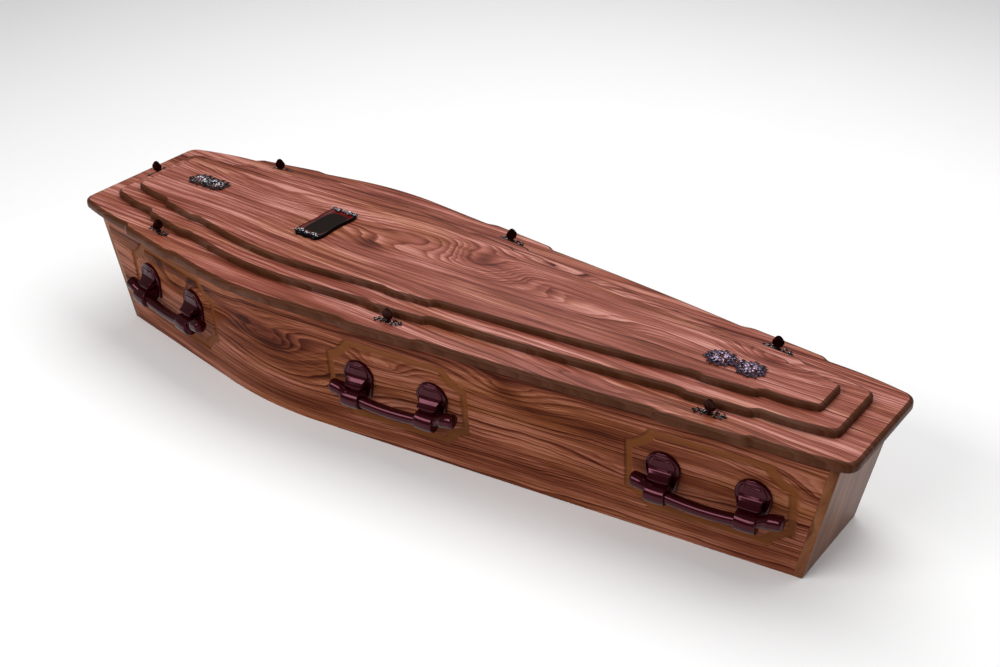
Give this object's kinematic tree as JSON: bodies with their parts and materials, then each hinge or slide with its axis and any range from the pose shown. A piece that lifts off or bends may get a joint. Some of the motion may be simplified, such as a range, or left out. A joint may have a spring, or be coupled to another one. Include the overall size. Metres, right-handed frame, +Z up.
{
  "type": "wooden coffin",
  "caption": "Shouldered wooden coffin with a stepped, screwed-down lid, routed side panels, bar handles, a nameplate and cast sprays.",
  "frame": {"origin": "on the floor, below the middle of the lid's length and width", "axes": "+X toward the foot end, +Y toward the far side, +Z up"},
  "size_m": [2.01, 0.5946, 0.3551],
  "materials": {
    "side_wood": "semi-gloss walnut-figured foil over board, grain along the coffin",
    "end_wood": "satin, paler walnut figure",
    "lid_wood": "semi-gloss reddish walnut figure, grain along the coffin",
    "base_wood": "plain unpolished board",
    "maroon_plastic": "high-gloss dark maroon",
    "antique_silver": "metallised antique silver with blackened hollows"
  },
  "bodies": {
    "root": {"side_board_near": "side_wood", "side_board_far": "side_wood", "head_board": "end_wood", "foot_board": "end_wood", "base_board": "base_wood", "lid_board": "lid_wood", "lid_lower_tier": "lid_wood", "lid_upper_tier": "lid_wood", "handle_bar_near_head": "maroon_plastic", "lug_near_head_1": "maroon_plastic", "lug_near_head_2": "maroon_plastic", "handle_bar_near_middle": "maroon_plastic", "lug_near_middle_1": "maroon_plastic", "lug_near_middle_2": "maroon_plastic", "handle_bar_near_foot": "maroon_plastic", "lug_near_foot_1": "maroon_plastic", "lug_near_foot_2": "maroon_plastic", "handle_bar_far_head": "maroon_plastic", "lug_far_head_1": "maroon_plastic", "lug_far_head_2": "maroon_plastic", "handle_bar_far_middle": "maroon_plastic", "lug_far_middle_1": "maroon_plastic", "lug_far_middle_2": "maroon_plastic", "handle_bar_far_foot": "maroon_plastic", "lug_far_foot_1": "maroon_plastic", "lug_far_foot_2": "maroon_plastic", "escutcheon_near_head": "antique_silver", "lid_screw_near_head": "maroon_plastic", "escutcheon_near_middle": "antique_silver", "lid_screw_near_middle": "maroon_plastic", "escutcheon_near_foot": "antique_silver", "lid_screw_near_foot": "maroon_plastic", "escutcheon_far_head": "antique_silver", "lid_screw_far_head": "maroon_plastic", "escutcheon_far_middle": "antique_silver", "lid_screw_far_middle": "maroon_plastic", "escutcheon_far_foot": "antique_silver", "lid_screw_far_foot": "maroon_plastic", "escutcheon_head_end": "antique_silver", "lid_screw_head_end": "maroon_plastic", "nameplate": "maroon_plastic", "head_spray": "antique_silver", "foot_spray": "antique_silver"}
  },
  "joints": []
}
